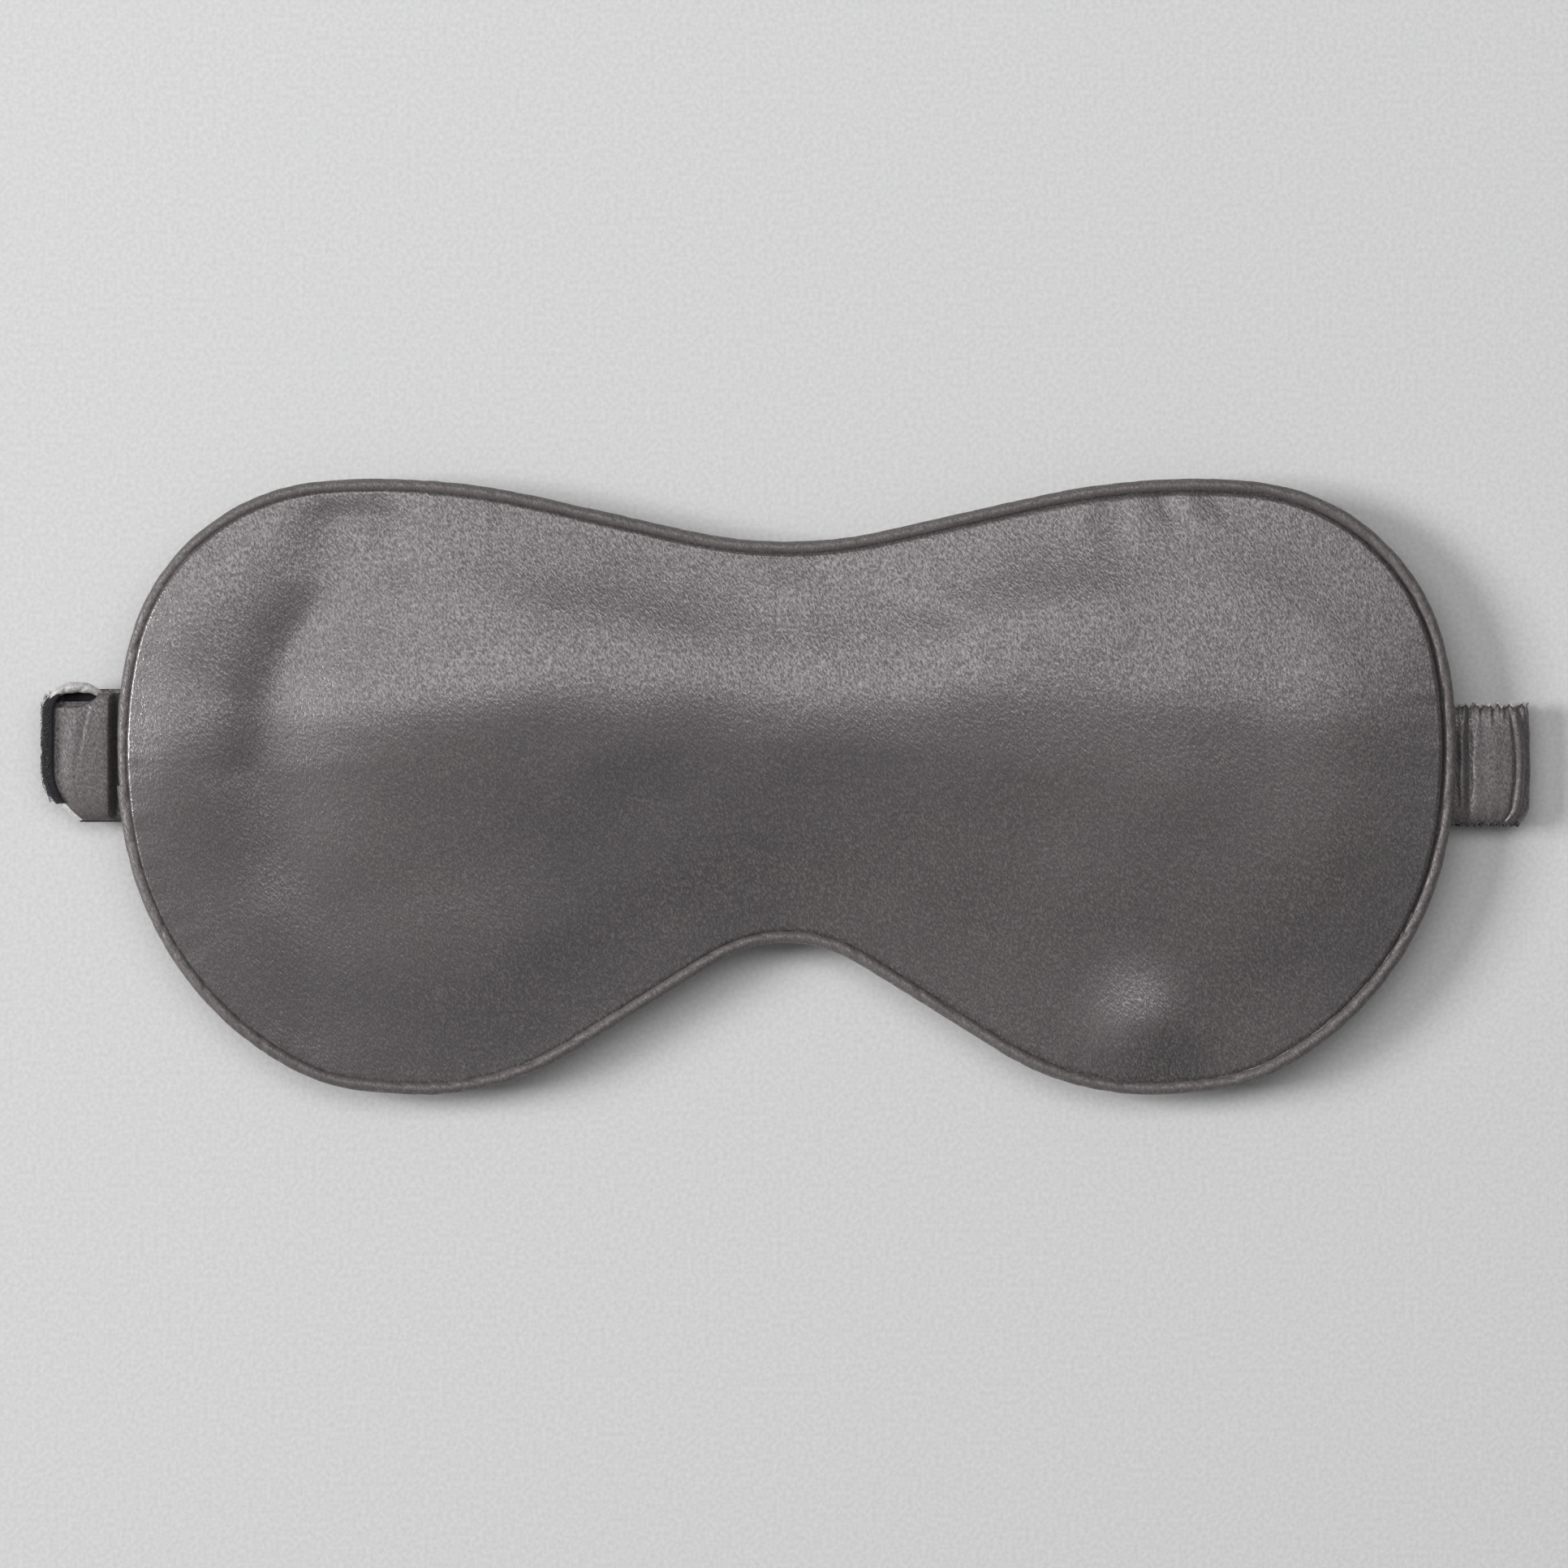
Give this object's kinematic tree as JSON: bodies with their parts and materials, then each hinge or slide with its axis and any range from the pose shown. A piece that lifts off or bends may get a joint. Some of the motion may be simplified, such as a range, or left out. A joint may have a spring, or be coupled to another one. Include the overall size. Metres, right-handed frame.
{
  "type": "sleep eye mask",
  "caption": "Padded satin sleep mask with corded edge, shaped nose notch and a folded head band that closes with hook-and-loop tape.",
  "frame": {"origin": "middle of the base, on the surface the mask lies on, front panel up", "axes": "+X along the mask from the flat strap side to the gathered elastic side, +Y towards the brow edge, +Z out of the front panel"},
  "size_m": [0.2348, 0.0971, 0.013],
  "materials": {
    "satin": "fine charcoal grey satin, soft sheen",
    "satin_piping": "bias-cut charcoal grey satin drawn tight over cord",
    "satin_band": "charcoal grey satin, gathered or flat",
    "lining": "matte black close-woven blackout cloth",
    "wadding": "white needled wadding",
    "cotton_cord": "twisted cotton piping cord",
    "thread": "dark polyester sewing thread",
    "elastic": "woven elastic webbing",
    "loop_pile": "black brushed loop pile",
    "hooks": "black nylon hook tape",
    "interfacing": "white fusible interfacing"
  },
  "bodies": {
    "mask": {"front_panel": "satin", "blackout_lining": "lining", "fill_pad": "wadding", "back_panel": "satin", "piping_cord": "cotton_cord", "piping_cover": "satin_piping", "perimeter_thread": "thread", "right_band_anchor": "satin_band", "right_elastic_anchor": "elastic", "right_anchor_tacks": "thread", "right_band_fold": "satin_band", "right_elastic_fold": "elastic", "left_strap_anchor": "satin_band", "left_anchor_tacks": "thread", "left_strap_fold": "satin_band", "loop_tape_fold": "loop_pile"},
    "right_strap": {"gathered_sleeve": "satin_band", "elastic_run": "elastic"},
    "band_end": {"elastic_end_tab": "satin_band", "elastic_end_tacks": "thread"},
    "hook_tab": {"hook_tab_backing": "satin_band", "hook_tape": "hooks", "hook_tape_stitches": "thread"},
    "left_strap": {"left_strap_sleeve": "satin_band", "strap_stiffener": "interfacing", "loop_tape": "loop_pile", "loop_tape_stitches": "thread"}
  },
  "joints": [
    {"name": "right_strap_swing", "type": "hinge", "parent": "mask", "child": "right_strap", "pos_m": [0.11435, 0.0033, 0.00305], "axis": [0, -1, 0], "range_deg": [0, 180], "deforming": ["right_band_fold", "right_elastic_fold"]},
    {"name": "left_strap_swing", "type": "hinge", "parent": "mask", "child": "left_strap", "pos_m": [-0.1151, 0.0048, 0.0046], "axis": [0, 1, 0], "range_deg": [0, 180], "deforming": ["left_strap_fold", "loop_tape_fold"]},
    {"name": "band_stretch", "type": "slide", "parent": "right_strap", "child": "band_end", "axis": [-1, 0, 0], "range_m": [0, 0.06], "stiffness_N_per_m": 28, "deforming": ["gathered_sleeve", "elastic_run"]},
    {"name": "closure_peel", "type": "hinge", "parent": "band_end", "child": "hook_tab", "pos_m": [-0.02415, 0.0033, 0], "axis": [0, -1, 0], "range_deg": [0, 110]}
  ],
  "couplings": [
    {"joint": "left_strap_swing", "follows": "right_strap_swing", "ratio": 1}
  ]
}
